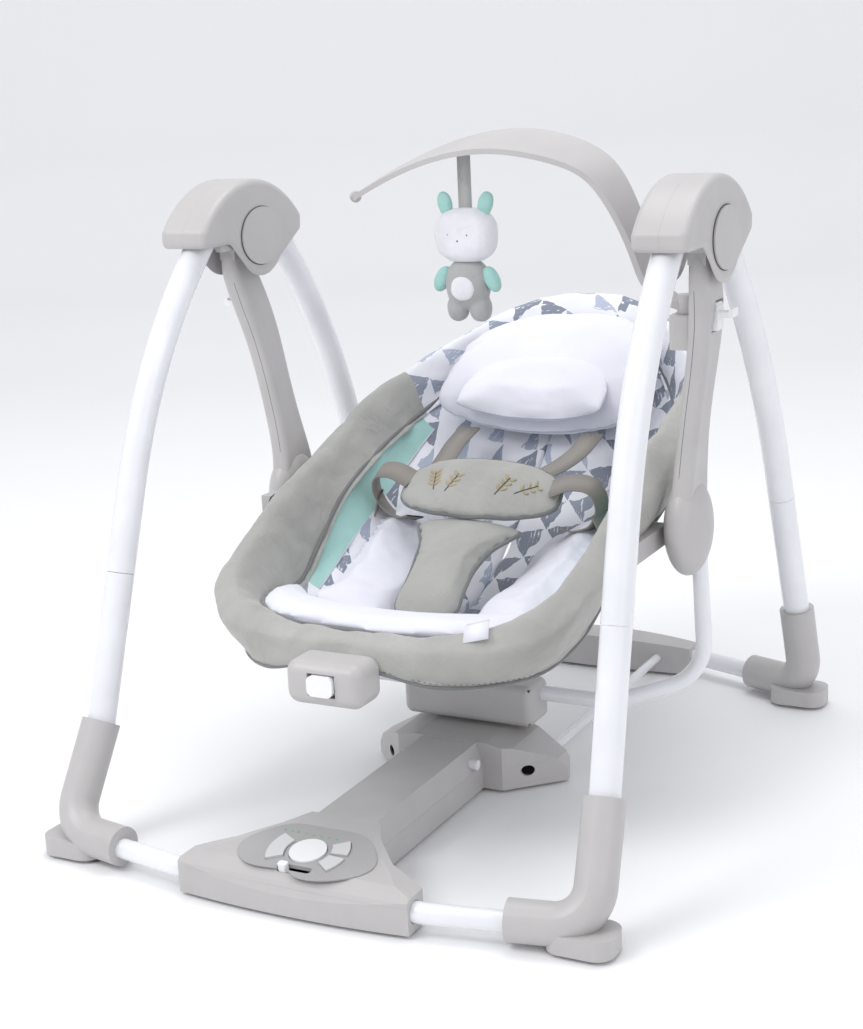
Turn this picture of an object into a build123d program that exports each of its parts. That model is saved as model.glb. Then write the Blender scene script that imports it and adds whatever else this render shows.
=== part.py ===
from build123d import *
import math
import os

# Compact folding baby swing, in millimetres.
# X runs left to right, the child faces -Y, and +Z is up. The origin is on the floor,
# under the middle of the stand.

# Overall stance
HALF_WIDTH = 288.5
HALF_DEPTH = 372.0
BAR_Y = 352.0
BAR_Z = 20.0
HUB_X = 247.0
HUB_Z = 547.5

# Tubes
LEG_RADIUS = 13.75
LEG_WALL = 1.2
BAR_RADIUS = 9.5
ROD_RADIUS = 5.0
THIN_WALL = 1.2
ROD_X = 77.0
SWING_TUBE_RADIUS = 8.0
HOOP_RADIUS = 6.0

# Legs, seen from the side: a straight lower run, then an arc up to the hub
LEG_SLOPE = 18.0
LEG_TILT = 1.7
SLEEVE_SEAM_Z = 250.0
FRONT_LEG = {"knee": (205.0, 330.0), "radius": 514.0, "turn": 29.2}
REAR_LEG = {"knee": (232.0, 275.0), "radius": 703.0, "turn": 25.9}
FRONT_BOW = 10.0
REAR_BOW = 20.0
FOOT_RADIUS = 18.5
FOOT_TOP = 114.0
TUBE_LOW = 92.0
PAD_HEIGHT = 3.0

# Hubs
HUB_HALF = 27.0
HUB_WALL = 3.0
HUB_ROUND = 7.0
CHEEK = 6.0
AXLE_RADIUS = 6.0
RUNNING = 0.06

# Base
SHELL = 2.5
BASE_FLOOR = 3.0
BASE_SEAM = 28.0
HOUSING_HALF = 116.0
SPINE_TOP_HALF = 30.0
SPINE_LOW_HALF = 37.0
SPINE_TOP = 50.0
DOCK_TOP = 51.0
ROD_FRONT = -5.0
PEG_X = 34.0
PEG_Y = -75.0
PEG_Z = 36.0
PEG_RADIUS = 5.0

# Controls, on the sloping top of the front housing
CONTROL_TILT = 11.0
CONTROL_AT = (0.0, -330.0, 44.4)
PLATE = 1.2
BUTTON_GAP = 0.5
BUTTON_RISE = 2.0
BUTTON_DEPTH = 5.0
BUTTON_ANGLES = {"timer_button": (152, 212), "volume_button": (4, 36), "music_button": (-36, -4)}

# Swing
POD = (223.0, 40.0, 256.0)
ARM_WALL = 2.5
PIN_RADIUS = 6.0
LEVER_AXIS = (259.2, 484.0)
TOY_POST = (225.0, 38.0)
TOY_SEAT_Z = 473.0
TOY_X = -3.0
TOY_BAR_LEAN = 13.0
TOY_HANG_Z = 622.0

# Seat: the hoop's corners on the right side, front to back, and the bucket's sections,
# each with its distance back, half width, top and bottom
SEAT_WALL = 9.0
RIM_RADIUS = 20.0
RIM = [(66, -226, 200), (160, -172, 214), (172, -72, 274), (172, 140, 345), (160, 262, 378), (78, 343, 424)]
ROWS = [(-222, 108, 196, 168), (-180, 150, 206, 150), (-90, 158, 250, 146), (10, 158, 288, 160),
        (110, 158, 318, 208), (210, 146, 346, 282), (300, 104, 388, 350)]

GAP = 0.4


def mirrored(shape):
    """The same piece on the other side of the object."""
    return mirror(shape, about=Plane.YZ)


def both(shape):
    """A piece and its mirror image, as two solids."""
    return Compound(children=[*shape.solids(), *mirrored(shape).solids()])


def side_prism(outline, x_low, x_high):
    """A flat outline drawn in Y and Z, carried along X."""
    return Pos(x_low, 0, 0) * extrude(Plane.YZ * make_face(outline), x_high - x_low)


def rod(start, end, radius):
    """A straight round bar between two points."""
    path = Line(start, end)
    return sweep(Plane(origin=path @ 0, z_dir=path % 0) * Circle(radius), path=path)


def bent_tube(points, radius, bend, wall=0.0):
    """A round tube that follows straight runs joined by tangent bends."""
    path = FilletPolyline(*points, radius=bend)
    section = Circle(radius)
    if 0 < wall < radius - 0.1:
        section = section - Circle(radius - wall)
    return sweep(Plane(origin=path @ 0, z_dir=path % 0) * section, path=path)


def boxed(low, high):
    """A box between two corners."""
    centre = [(a + b) / 2 for a, b in zip(low, high)]
    size = [b - a for a, b in zip(low, high)]
    return Pos(*centre) * Box(*size)


def tilt_leg(shape):
    """Leans a leg outwards from its place at the hub, feet apart."""
    pivot = Pos(HUB_X - 1, 0, HUB_Z)
    return pivot * Rot(0, -LEG_TILT, 0) * pivot.inverse() * shape


def leg_piece(leg, side, low, high):
    """Part of a leg between two heights: side is -1 at the front and 1 at the rear."""
    knee_y, knee_z = leg["knee"]
    slope = math.radians(LEG_SLOPE)
    run = (knee_z - low) / math.cos(slope)
    foot = (HUB_X - 1, side * (knee_y + run * math.sin(slope)), low)
    knee = (HUB_X - 1, side * knee_y, knee_z)
    up = Plane(origin=foot, z_dir=(0, -side * math.sin(slope), math.cos(slope)))
    ring = Circle(LEG_RADIUS) - Circle(LEG_RADIUS - LEG_WALL)
    if high <= knee_z:
        end_run = (high - low) / math.cos(slope)
        return tilt_leg(extrude(up * ring, end_run))
    straight = Line(foot, knee)
    turn = math.radians(leg["turn"])
    bend = []
    for part in (0.5, 1.0):
        angle = slope + part * turn
        y = knee_y - leg["radius"] * (math.cos(slope) - math.cos(angle))
        z = knee_z + leg["radius"] * (math.sin(angle) - math.sin(slope))
        bend.append((HUB_X - 1, side * y, z))
    curve = ThreePointArc(knee, *bend)
    return tilt_leg(sweep(up * ring, path=Wire([straight.edge(), curve.edge()])))


def leg_end(leg, side):
    """The top of a leg's centre line and its upward direction."""
    slope = math.radians(LEG_SLOPE)
    angle = slope + math.radians(leg["turn"])
    y = leg["knee"][0] - leg["radius"] * (math.cos(slope) - math.cos(angle))
    z = leg["knee"][1] + leg["radius"] * (math.sin(angle) - math.sin(slope))
    return (HUB_X - 1, side * y, z), (0, -side * math.sin(angle), math.cos(angle))


def leg_foot(leg, height):
    """How far from the hub the straight run stands at a height."""
    knee_y, knee_z = leg["knee"]
    return knee_y + (knee_z - height) * math.tan(math.radians(LEG_SLOPE))


def foot(leg, side, bow):
    """A corner foot: a socket for the leg, turned inwards to hold the cross bar."""
    slope = math.tan(math.radians(bow))
    top = (259.0, side * leg_foot(leg, FOOT_TOP), FOOT_TOP)
    corner = (266.0, side * (BAR_Y - (266 - 120) * slope), 22.0)
    inner = (196.0, side * (BAR_Y - (196 - 120) * slope), 21.5)
    body = bent_tube([top, corner, inner], FOOT_RADIUS, 34)
    sole = boxed((228, corner[1] - 22, PAD_HEIGHT), (HALF_WIDTH, corner[1] + 22, 20))
    body = body + fillet(sole.edges().filter_by(Axis.Z), 16)
    return body & boxed((0, -400, PAD_HEIGHT), (HALF_WIDTH, 400, 200))


def foot_pad(side, bow):
    """The rubber sole under a corner foot."""
    middle = side * (BAR_Y - (255 - 120) * math.tan(math.radians(bow)))
    pad = boxed((226, middle - 11, 0), (284, middle + 11, PAD_HEIGHT))
    return fillet(pad.edges().filter_by(Axis.Z), 9)


def cross_bar(side, bow, grow=0.0, wall=THIN_WALL):
    """A bar that is straight through its housing, then bends towards the feet."""
    reach = 236.0
    end_y = side * (BAR_Y - (reach - 125) * math.tan(math.radians(bow)))
    line = [
        (-reach, end_y, BAR_Z),
        (-125, side * BAR_Y, BAR_Z),
        (125, side * BAR_Y, BAR_Z),
        (reach, end_y, BAR_Z),
    ]
    return bent_tube(line, BAR_RADIUS + grow, 60, wall)


def axle_bore(radius, x_low, x_high):
    """A cylinder on the hub's axis."""
    middle = (x_low + x_high) / 2
    return Pos(middle, 0, HUB_Z) * Rot(0, 90, 0) * Cylinder(radius, x_high - x_low)


def knuckle(leg, side, plate_x):
    """The cheek that plugs a leg tube and turns on the hub's axle."""
    end, up = leg_end(leg, side)
    inner = LEG_RADIUS - LEG_WALL - 1.8
    near = (end[0], end[1] - up[1] * 22, end[2] - up[2] * 22)
    far = (end[0], end[1] + up[1] * 10, end[2] + up[2] * 10)
    low = min(plate_x, HUB_X - 13)
    high = max(plate_x + CHEEK, HUB_X + 11)
    root = side * 50
    tip = side * 62
    block = boxed((low, min(root, tip), 540), (high, max(root, tip), 562))
    cheek = boxed((plate_x, min(0, tip), HUB_Z - 10), (plate_x + CHEEK, max(0, tip), HUB_Z + 12))
    ring = axle_bore(17, plate_x, plate_x + CHEEK)
    tube = rod(near, (end[0], end[1] + up[1] * 0.6, end[2] + up[2] * 0.6), LEG_RADIUS + 2)
    body = block + cheek + ring - tube
    return body + rod(near, far, inner) - axle_bore(AXLE_RADIUS + RUNNING, 200, 290)


NODES = {}


def keep(name, shape):
    """Files a finished piece under its name."""
    NODES[name] = shape


def leg_frame(name, leg, side, bow, plate_x):
    """One pair of legs with its feet, pads, cross bar and knuckles."""
    bar = cross_bar(side, bow)
    bar_room = cross_bar(side, bow, 0.02, 0)
    core_low = (HUB_X - 1, side * leg_foot(leg, TUBE_LOW - 6), TUBE_LOW - 6)
    core_high = (HUB_X - 1, side * leg_foot(leg, 130), 130)
    core = tilt_leg(rod(core_low, core_high, LEG_RADIUS + 0.05))
    keep(name + "_bar", bar)
    keep(name + "_feet", both(foot(leg, side, bow) - bar_room - core))
    keep(name + "_pads", both(foot_pad(side, bow)))
    keep(name + "_lower_tubes", both(leg_piece(leg, side, TUBE_LOW, SLEEVE_SEAM_Z)))
    keep(name + "_upper_tubes", both(leg_piece(leg, side, SLEEVE_SEAM_Z + GAP, HUB_Z)))
    keep(name + "_knuckles", both(knuckle(leg, side, plate_x)))


def hub_outline(inset):
    """The hub seen from the side: a dome over the front leg and a lobe below the axle."""
    dome = ThreePointArc((-97, 560), (-8, 605), (87, 562))
    rear = Polyline((87, 562), (86, 546), (42, 520))
    lobe = ThreePointArc((42, 520), (7, 505), (-26, 520))
    mouth = Polyline((-26, 520), (-50, 543), (-98, 543), (-97, 560))
    face = make_face([dome, rear, lobe, mouth])
    face = fillet(face.vertices(), 8)
    if inset:
        return offset(face, -inset)
    return face


def hub_prism(inset, x_low, x_high, round_edge):
    """The hub's side outline carried along X, with both rims rounded."""
    body = Pos(x_low, 0, 0) * extrude(Plane.YZ * hub_outline(inset), x_high - x_low)
    rims = body.faces().filter_by(Axis.X).edges()
    return fillet(rims, round_edge)


def hubs():
    """Two half shells per hub, open underneath for the legs and the swing arm."""
    low = HUB_X - HUB_HALF
    high = HUB_X + HUB_HALF
    inside = hub_prism(HUB_WALL, low + HUB_WALL, high - HUB_WALL, HUB_ROUND / 2)
    shell = hub_prism(0, low, high, HUB_ROUND) - inside
    mouth = Polyline((-93.5, 495), (-93.5, 551), (50, 551), (60, 561), (100, 561), (100, 495), close=True)
    shell = shell - side_prism(mouth, low + HUB_WALL, high - HUB_WALL)
    shell = shell - axle_bore(AXLE_RADIUS, low - 1, high + 1)
    keep("hub_outer_shells", both(shell & boxed((HUB_X, -200, 400), (300, 200, 700))))
    keep("hub_inner_shells", both(shell & boxed((200, -200, 400), (HUB_X - 0.1, 200, 700))))
    disc = Ellipse(37, 29)
    outer = extrude(Plane(origin=(high, 4, HUB_Z), x_dir=(0, 1, 0), z_dir=(1, 0, 0)) * disc, 2.5)
    inner = extrude(Plane(origin=(low, 4, HUB_Z), x_dir=(0, 1, 0), z_dir=(-1, 0, 0)) * disc, 2.5)
    keep("hub_outer_caps", both(outer))
    keep("hub_inner_caps", both(inner))
    keep("hub_axles", both(axle_bore(AXLE_RADIUS, low, high)))


def housing_face(inset):
    """The control housing from above, running back into the spine."""
    front = ThreePointArc((-HOUSING_HALF, -365), (0, -HALF_DEPTH), (HOUSING_HALF, -365))
    back = Polyline((HOUSING_HALF, -365), (HOUSING_HALF, -337), (80, -322), (51, -290), (36, -262),
                    (-36, -262), (-51, -290), (-80, -322), (-HOUSING_HALF, -337), (-HOUSING_HALF, -365))
    face = make_face([front, back])
    return offset(face, -inset, kind=Kind.INTERSECTION) if inset else face


def dock_face(inset):
    """The dock from above: a fan that widens towards the back."""
    line = Polyline((-58, -54), (58, -54), (108, -4), (104, 10), (60, 22), (-60, 22), (-104, 10),
                    (-108, -4), close=True)
    face = make_face(line)
    return offset(face, -inset, kind=Kind.INTERSECTION) if inset else face


def base_form(inset):
    """The whole base body: housing, spine and dock, drawn in by an even inset."""
    low = BASE_FLOOR + inset
    housing = Pos(0, 0, low) * extrude(housing_face(inset), 60)
    slope = Polyline((-400, low), (-400, 22 - inset), (-HALF_DEPTH, 22 - inset), (-366, 32 - inset),
                     (-352, 40 - inset), (-290, 52 - inset), (-200, 52 - inset), (-200, low), close=True)
    crown = Plane(origin=(0, -400, 0), z_dir=(0, 1, 0)) * (Pos(0, 0) * Circle(404 - inset))
    crown = Pos(0, 0, -352) * extrude(crown, 250)
    housing = housing & side_prism(slope, -130, 130) & crown
    section = Polyline((-SPINE_LOW_HALF + inset, low), (SPINE_LOW_HALF - inset, low),
                       (SPINE_LOW_HALF - inset, BASE_SEAM), (SPINE_TOP_HALF - inset, SPINE_TOP - inset),
                       (-SPINE_TOP_HALF + inset, SPINE_TOP - inset), (-SPINE_LOW_HALF + inset, BASE_SEAM),
                       close=True)
    spine = Pos(0, -40, 0) * extrude(Plane.XZ * make_face(section), 235)
    dock = Pos(0, 0, low) * extrude(dock_face(inset), 60)
    arch = Polyline((-112, low), (112, low), (112, 9), (100, 28 - inset), (66, 46 - inset),
                    (40, DOCK_TOP - inset), (-40, DOCK_TOP - inset), (-66, 46 - inset),
                    (-100, 28 - inset), (-112, 9), close=True)
    dock = dock & (Pos(0, 100, 0) * extrude(Plane.XZ * make_face(arch), 200))
    return housing + spine + dock


def control_plane(lift=0.0):
    """The slope that the controls sit on, or a parallel plane above it."""
    tilt = math.radians(CONTROL_TILT)
    slope = Plane(origin=CONTROL_AT, x_dir=(1, 0, 0), z_dir=(0, -math.sin(tilt), math.cos(tilt)))
    return slope.offset(lift)


def raised(face, low, high):
    """A flat shape on the control slope, carried between two heights above it."""
    return extrude(control_plane(low) * face, high - low)


def at_angle(radius, angle):
    """A flat point at a radius and an angle in degrees."""
    return (radius * math.cos(math.radians(angle)), radius * math.sin(math.radians(angle)))


def petal(start, end, inner, outer):
    """A flat ring sector between two angles, in degrees."""
    middle = (start + end) / 2
    near = ThreePointArc(at_angle(inner, start), at_angle(inner, middle), at_angle(inner, end))
    side = Line(at_angle(inner, end), at_angle(outer, end))
    far = ThreePointArc(at_angle(outer, end), at_angle(outer, middle), at_angle(outer, start))
    back = Line(at_angle(outer, start), at_angle(inner, start))
    return make_face([near, side, far, back])


def slot_face(grow):
    """The slot that the mode slider runs in."""
    return Pos(0, -25) * RectangleRounded(34 + 2 * grow, 8 + 2 * grow, 3.5)


def button_face(name, grow):
    """The outline of a button on the panel, drawn larger by an even gap."""
    if name == "power_button":
        return Circle(17 + grow)
    start, end = BUTTON_ANGLES[name]
    return petal(start - grow, end + grow, 22 - grow, 38 + grow)


def lights(grow):
    """Eight small round lights: five over the button and three to its left."""
    spots = [Pos(x, 24) for x in (-16, -8, 0, 8, 16)]
    spots += [Pos(x, 25) for x in (-38, -31, -24.5)]
    return [spot * Circle(1.3 + grow) for spot in spots]


def base():
    """The base shells with everything that is fixed in them, and the controls."""
    form = base_form(0) - base_form(SHELL)
    form = form - rod((-150, -BAR_Y, BAR_Z), (150, -BAR_Y, BAR_Z), BAR_RADIUS + 0.5)
    guide = Pos(ROD_X, 0, BAR_Z) * Rot(90, 0, 0) * Cylinder(ROD_RADIUS + 0.6, 120)
    peg_hole = Pos(0, PEG_Y, PEG_Z) * Rot(0, 90, 0) * Cylinder(PEG_RADIUS + 0.4, 120)
    form = form - guide - mirrored(guide) - peg_hole
    plate = raised(make_face(panel_outline()), 0, PLATE)
    openings = [raised(button_face(name, BUTTON_GAP), -9, 9) for name in ["power_button", *BUTTON_ANGLES]]
    openings += [raised(slot_face(0), -9, 9)]
    openings += [raised(spot, -9, 9) for spot in lights(0.05)]
    for opening in openings:
        form = form - opening
        plate = plate - opening
    form = form - raised(make_face(panel_outline()), -0.05, 12)
    keep("base_upper_shell", form & boxed((-150, -400, BASE_SEAM + 0.1), (150, 100, 80)))
    keep("base_lower_shell", form & boxed((-150, -400, 0), (150, 100, BASE_SEAM)))
    keep("panel_plate", plate)
    keep("status_lights", Compound(children=[raised(s, -3, PLATE + 0.3) for s in lights(0)]))
    for name in ["power_button", *BUTTON_ANGLES]:
        keep(name, raised(button_face(name, 0), -BUTTON_DEPTH, PLATE + BUTTON_RISE))
    knob = raised(Pos(-11, -25) * RectangleRounded(9, 7, 2.5), -5, PLATE + 3.5)
    keep("mode_slider", knob)
    peg = Pos(0, PEG_Y, PEG_Z) * Rot(0, 90, 0) * Cylinder(PEG_RADIUS, 16)
    keep("release_peg_right", Pos(PEG_X, 0, 0) * peg)
    keep("release_peg_left", Pos(-PEG_X, 0, 0) * peg)
    coil = Cylinder(20, 18) - Cylinder(9, 18)
    keep("drive_coil", Pos(0, -15, 34) * coil)
    keep("circuit_board", boxed((-55, -336, 30.5), (55, -300, 32.1)))
    cells = [Pos(0, y, 19) * Rot(90, 0, 0) * Cylinder(12.5, 46) for y in (-248, -200, -152)]
    keep("battery_cells", Compound(children=cells))


def panel_outline():
    """The bean-shaped control panel: wide in the middle, narrow at the back."""
    points = [(0, -32), (48, -28), (68, -6), (58, 18), (34, 36), (0, 37.5),
              (-34, 36), (-58, 18), (-68, -6), (-48, -28)]
    return Spline(*points, periodic=True)


def rear_form(inset):
    """The rear housing, an arched bar drawn in by an even inset."""
    front = ThreePointArc((-HOUSING_HALF, 338), (0, 331), (HOUSING_HALF, 338))
    back = ThreePointArc((HOUSING_HALF, 365), (0, HALF_DEPTH), (-HOUSING_HALF, 365))
    right = Line((HOUSING_HALF, 338), (HOUSING_HALF, 365))
    left = Line((-HOUSING_HALF, 365), (-HOUSING_HALF, 338))
    face = make_face([front, right, back, left])
    if inset:
        face = offset(face, -inset, kind=Kind.INTERSECTION)
    crown = Plane(origin=(0, 300, -1083), z_dir=(0, 1, 0)) * Circle(1123 - inset)
    return (Pos(0, 0, BASE_FLOOR + inset) * extrude(face, 50)) & extrude(crown, 100)


def rear_brace():
    """The rear housing on its bar, with the two guide rods that run to the dock."""
    body = rear_form(0) - rear_form(SHELL)
    body = body - rod((-150, BAR_Y, BAR_Z), (150, BAR_Y, BAR_Z), BAR_RADIUS + 0.5)
    guide = rod((ROD_X, ROD_FRONT, BAR_Z), (ROD_X, BAR_Y - BAR_RADIUS - 2, BAR_Z), ROD_RADIUS)
    keep("rear_housing", body - guide - mirrored(guide))
    bore = rod((ROD_X, ROD_FRONT + 3, BAR_Z), (ROD_X, BAR_Y, BAR_Z), ROD_RADIUS - THIN_WALL)
    keep("guide_rods", both(guide - bore))


def arm():
    """The right swing arm with its hanger ring at the top and its pod at the bottom."""
    stations = [(252, 3, 532, 17.6, 32), (251, 15, 492, 22, 45), (244, 28, 445, 22, 43),
                (234, 34, 385, 21, 40), (225, 41, 318, 21, 50), (223, 41, 296, 21, 58)]
    sections = [Plane((x, y, z)) * RectangleRounded(wide, deep, 7) for x, y, z, wide, deep in stations]
    blade = loft(sections)
    hanger = axle_bore(18, 243.2, 260.8)
    neck = boxed((243.2, -13, 524), (260.8, 17, 545))
    pod = Pos(POD[0], POD[1], 266) * scale(Sphere(1), by=(22, 38, 49))
    thin = 2 * ARM_WALL
    hollow = [Plane((x, y, z)) * RectangleRounded(wide - thin, deep - thin, 4)
              for x, y, z, wide, deep in stations[2:5]]
    pod_hollow = Pos(POD[0], POD[1], 266) * scale(Sphere(1), by=(19, 35, 46))
    boss = Pos(*POD) * Rot(0, 90, 0) * Cylinder(PIN_RADIUS + 4, 60)
    tube_boss = Pos(POD[0], 58, 250) * Cylinder(SWING_TUBE_RADIUS + 3, 80)
    return blade + hanger + neck + pod - loft(hollow) - (pod_hollow - boss - tube_boss)


def swing():
    """The two arms, the tube that joins them and the magnet case over the dock."""
    line = [(226, 60, 246), (236, 48, 112), (150, 18, 84), (-150, 18, 84), (-236, 48, 112), (-226, 60, 246)]
    tube = bent_tube(line, SWING_TUBE_RADIUS, 46, THIN_WALL)
    body = arm() - axle_bore(AXLE_RADIUS + RUNNING, 200, 290) - bent_tube(line, SWING_TUBE_RADIUS + 0.05, 46)
    pin_hole = Pos(211, POD[1], POD[2]) * Rot(0, 90, 0) * Cylinder(PIN_RADIUS + RUNNING, 26)
    body = body - pin_hole
    cover_space = boxed((150, -50, 200), (212, 120, 330))
    cover = body & cover_space
    body = body - boxed((150, -50, 200), (212.1, 120, 330))
    notch = boxed((256, 10, 459), (290, 32, 489))
    body = body - notch
    keep("swing_arms", both(body))
    keep("pod_covers", both(cover))
    keep("swing_tube", tube)
    block = boxed((-73, -13, 54.5), (73, 34, 98))
    block = fillet(block.edges(), 9)
    hollow = boxed((-70, -10, 57.5), (70, 31, 95))
    case = block - hollow - bent_tube(line, SWING_TUBE_RADIUS + 0.05, 46)
    keep("magnet_case", case)
    magnets = both(boxed((12, -2, 58), (52, 24, 74)))
    keep("drive_magnets", magnets)
    barrel = Pos(LEVER_AXIS[0], 21, LEVER_AXIS[1]) * Rot(90, 0, 0) * Cylinder(2.6, 18)
    plate = boxed((256.7, 12, 461), (263, 30, LEVER_AXIS[1]))
    hook = boxed((258, 13, 473), (277, 29, 478)) + boxed((273, 13, 473), (277, 29, 481))
    lever = plate + barrel + fillet(hook.edges().filter_by(Axis.Y), 1.4)
    keep("arm_lever_right", lever)
    keep("arm_lever_left", mirrored(lever))
    socket = boxed((213, 16, 441), (236, 58, TOY_SEAT_Z))
    post_bore = Pos(TOY_POST[0], TOY_POST[1], 470) * Cylinder(7 + RUNNING, 50)
    socket = fillet(socket.edges().filter_by(Axis.Z), 5) - post_bore - arm()
    keep("toy_bar_socket", socket.solids().sort_by(SortBy.VOLUME)[-1])


def toy():
    """The cantilever toy bar and the plush toy that hangs from its ribbon."""
    x, y = TOY_POST
    post = Pos(x, y, 467) * Cylinder(7, 42)
    head = Pos(x, y, TOY_SEAT_Z + 9) * Cylinder(10, 17.4)
    points = [(224, 484), (207, 491), (193, 503), (183, 527), (160, 583), (140, 610), (99, 630),
              (37, 639), (-17, 632), (-73, 613), (-126, 587)]
    path = Spline(*[(px, y, pz - 4) for px, pz in points])
    start = Plane(origin=path @ 0, x_dir=(0, 1, 0), z_dir=path % 0)
    blade = sweep(start * Rot(0, 0, -TOY_BAR_LEAN) * Rectangle(76, 5), path=path)
    front = Spline((236, 7), (195, 13), (150, 24), (70, 34), (-20, 27), (-90, 14), (-140, 5))
    leaf = [front, Line((-140, 5), (-140, -5)), mirror(front, about=Plane.XZ), Line((236, -7), (236, 7))]
    blade = blade & (Pos(0, y, 400) * extrude(make_face(leaf), 300))
    tip = Pos(-126, y, 583) * Sphere(6)
    clear = boxed((180, y - 30, 400), (240, y + 30, TOY_SEAT_Z + GAP))
    keep("toy_bar", blade + tip + head - clear + post)
    ribbon = boxed((TOY_X - 7, y - 1, 566), (TOY_X + 7, y + 1, TOY_HANG_Z))
    loop = Pos(TOY_X, y, TOY_HANG_Z) * Rot(90, 0, 0) * Cylinder(2.6, 14)
    keep("toy_ribbon", ribbon + loop)
    head = Pos(TOY_X, y, 545) * scale(Sphere(1), by=(26, 22, 21))
    body = Pos(TOY_X, y, 502) * scale(Sphere(1), by=(22, 18, 30))
    legs = Pos(TOY_X, y, 472) * scale(Sphere(1), by=(20, 12, 13))
    keep("plush_toy", head + body + legs - boxed((TOY_X - 8, y - 2, 560), (TOY_X + 8, y + 2, 600)))


def trough(inset, rows):
    """A boat-shaped solid through half-round sections, each at its own distance back."""
    sections = []
    for y, half, top, bottom in rows:
        half = half - inset
        low = bottom + inset
        high = top + (30 if inset else 0)
        line = Line((-half, high), (half, high))
        bow = EllipticalCenterArc((0, high), half, high - low, 180, arc_size=180)
        plane = Plane(origin=(0, y, 0), x_dir=(1, 0, 0), z_dir=(0, -1, 0))
        sections.append(plane * make_face([bow, line]))
    return loft(sections)


def rim_loop(radius, wall=0.0):
    """A round tube along the seat's closed outline."""
    line = RIM + [(-x, y, z) for x, y, z in reversed(RIM)]
    path = FilletPolyline(*line, radius=48, close=True)
    section = Circle(radius)
    if wall:
        section = section - Circle(radius - wall)
    return sweep(Plane(origin=path @ 0, z_dir=path % 0) * section, path=path)


def pillow(centre, half_size, tilt):
    """A plump cushion: an ellipsoid leant back by a tilt in degrees."""
    return Pos(*centre) * Rot(tilt, 0, 0) * scale(Sphere(1), by=half_size)


def seat():
    """The seat: a hooped frame in a padded rim, a soft bucket and the pads in it."""
    keep("seat_hoop", rim_loop(HOOP_RADIUS, THIN_WALL))
    rim = rim_loop(RIM_RADIUS, RIM_RADIUS - HOOP_RADIUS - GAP)
    arm_low = boxed((184, -60, 246), (200, 52, 266))
    arm_low = fillet(arm_low.edges().filter_by(Axis.X), 9)
    riser = boxed((184, -60, 246), (200, -36, 290))
    pin = Pos(210, POD[1], POD[2]) * Rot(0, 90, 0) * Cylinder(PIN_RADIUS, 24)
    clamp = arm_low + riser + pin
    solid_rim = rim_loop(RIM_RADIUS + GAP)
    keep("seat_clamps", both(clamp - solid_rim))
    keep("seat_rim", rim)
    outer = trough(0, ROWS)
    inner_rows = list(ROWS)
    inner_rows[0] = (ROWS[0][0] + SEAT_WALL, *ROWS[0][1:])
    inner_rows[-1] = (ROWS[-1][0] - SEAT_WALL, *ROWS[-1][1:])
    bucket = outer - trough(SEAT_WALL, inner_rows) - solid_rim
    keep("seat_bucket", bucket)
    keep("head_support", pillow((0, 250, 385), (98, 86, 26), 44))
    keep("head_cushion", pillow((0, 176, 352), (70, 46, 11), 50))
    waist = Plane(origin=(0, 30, 284), x_dir=(1, 0, 0), z_dir=(0, -0.45, 0.89))
    keep("waist_pad", extrude(waist * Ellipse(90, 38), 12))
    crotch = Plane(origin=(0, -52, 228), x_dir=(1, 0, 0), z_dir=(0, -0.6, 0.8))
    keep("crotch_pad", extrude(crotch * RectangleRounded(84, 92, 12), 9))
    keep("waist_straps", both(boxed((94, 22, 284), (136, 47, 287))))
    moon = make_face([ThreePointArc((-112, -176), (0, -206), (112, -176)),
                      ThreePointArc((112, -176), (0, -160), (-112, -176))])
    keep("foot_pad", Pos(0, 0, 206) * extrude(moon, 8))
    case = boxed((-39, -292, 165), (39, -247, 206))
    case = fillet(case.edges(), 12)
    socket = boxed((-14, -300, 176), (14, -284, 197))
    chamber = boxed((-34, -282, 171), (34, -252, 200))
    chamber = fillet(chamber.edges(), 7)
    case = case - socket - chamber
    keep("vibration_case", case)
    button = boxed((-13, -295.5, 177), (13, -286, 196))
    keep("vibration_button", fillet(button.edges().filter_by(Axis.Y), 6))
    keep("vibration_motor", Pos(12, -267, 186) * Rot(0, 90, 0) * Cylinder(11, 30))


leg_frame("front", FRONT_LEG, -1, FRONT_BOW, HUB_X - 21)
leg_frame("rear", REAR_LEG, 1, REAR_BOW, HUB_X + 16)
hubs()
base()
rear_brace()
swing()
toy()
seat()

os.makedirs("parts", exist_ok=True)
for name, shape in NODES.items():
    export_step(shape, f"parts/{name}.step")
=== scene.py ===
import math
import bpy
import bmesh
from mathutils import Matrix, Vector, noise


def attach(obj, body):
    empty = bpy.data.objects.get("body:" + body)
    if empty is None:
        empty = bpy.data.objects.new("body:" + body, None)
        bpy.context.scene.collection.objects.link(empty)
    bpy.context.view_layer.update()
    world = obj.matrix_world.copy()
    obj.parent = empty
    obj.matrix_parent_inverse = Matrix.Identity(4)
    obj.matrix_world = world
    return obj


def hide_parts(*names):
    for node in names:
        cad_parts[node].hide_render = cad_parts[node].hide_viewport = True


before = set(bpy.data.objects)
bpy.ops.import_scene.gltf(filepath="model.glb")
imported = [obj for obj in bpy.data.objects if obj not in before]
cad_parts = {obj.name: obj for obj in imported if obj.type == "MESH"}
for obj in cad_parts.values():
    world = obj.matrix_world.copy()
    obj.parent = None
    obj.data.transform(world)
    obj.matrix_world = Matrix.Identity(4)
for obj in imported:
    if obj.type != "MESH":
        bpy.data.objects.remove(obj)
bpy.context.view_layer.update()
MM = 0.001
CYCLE = 6.28              # one wave of a sine, in radians
PRINT_ROWS = 30.0         # rows of printed triangles in a metre
STEPS = 6                 # steps between two stations of the seat's loops
VELOUR_END = 11.15        # the station where the rim turns from velour to print
TEAL_SPAN = (6.3, 10.9)   # the stations between which a teal side panel runs
TEAL_DEPTH = 5            # its depth, in steps from the piping to the middle line
LINING_CUTS = 22          # all the steps from the piping to the middle line
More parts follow.
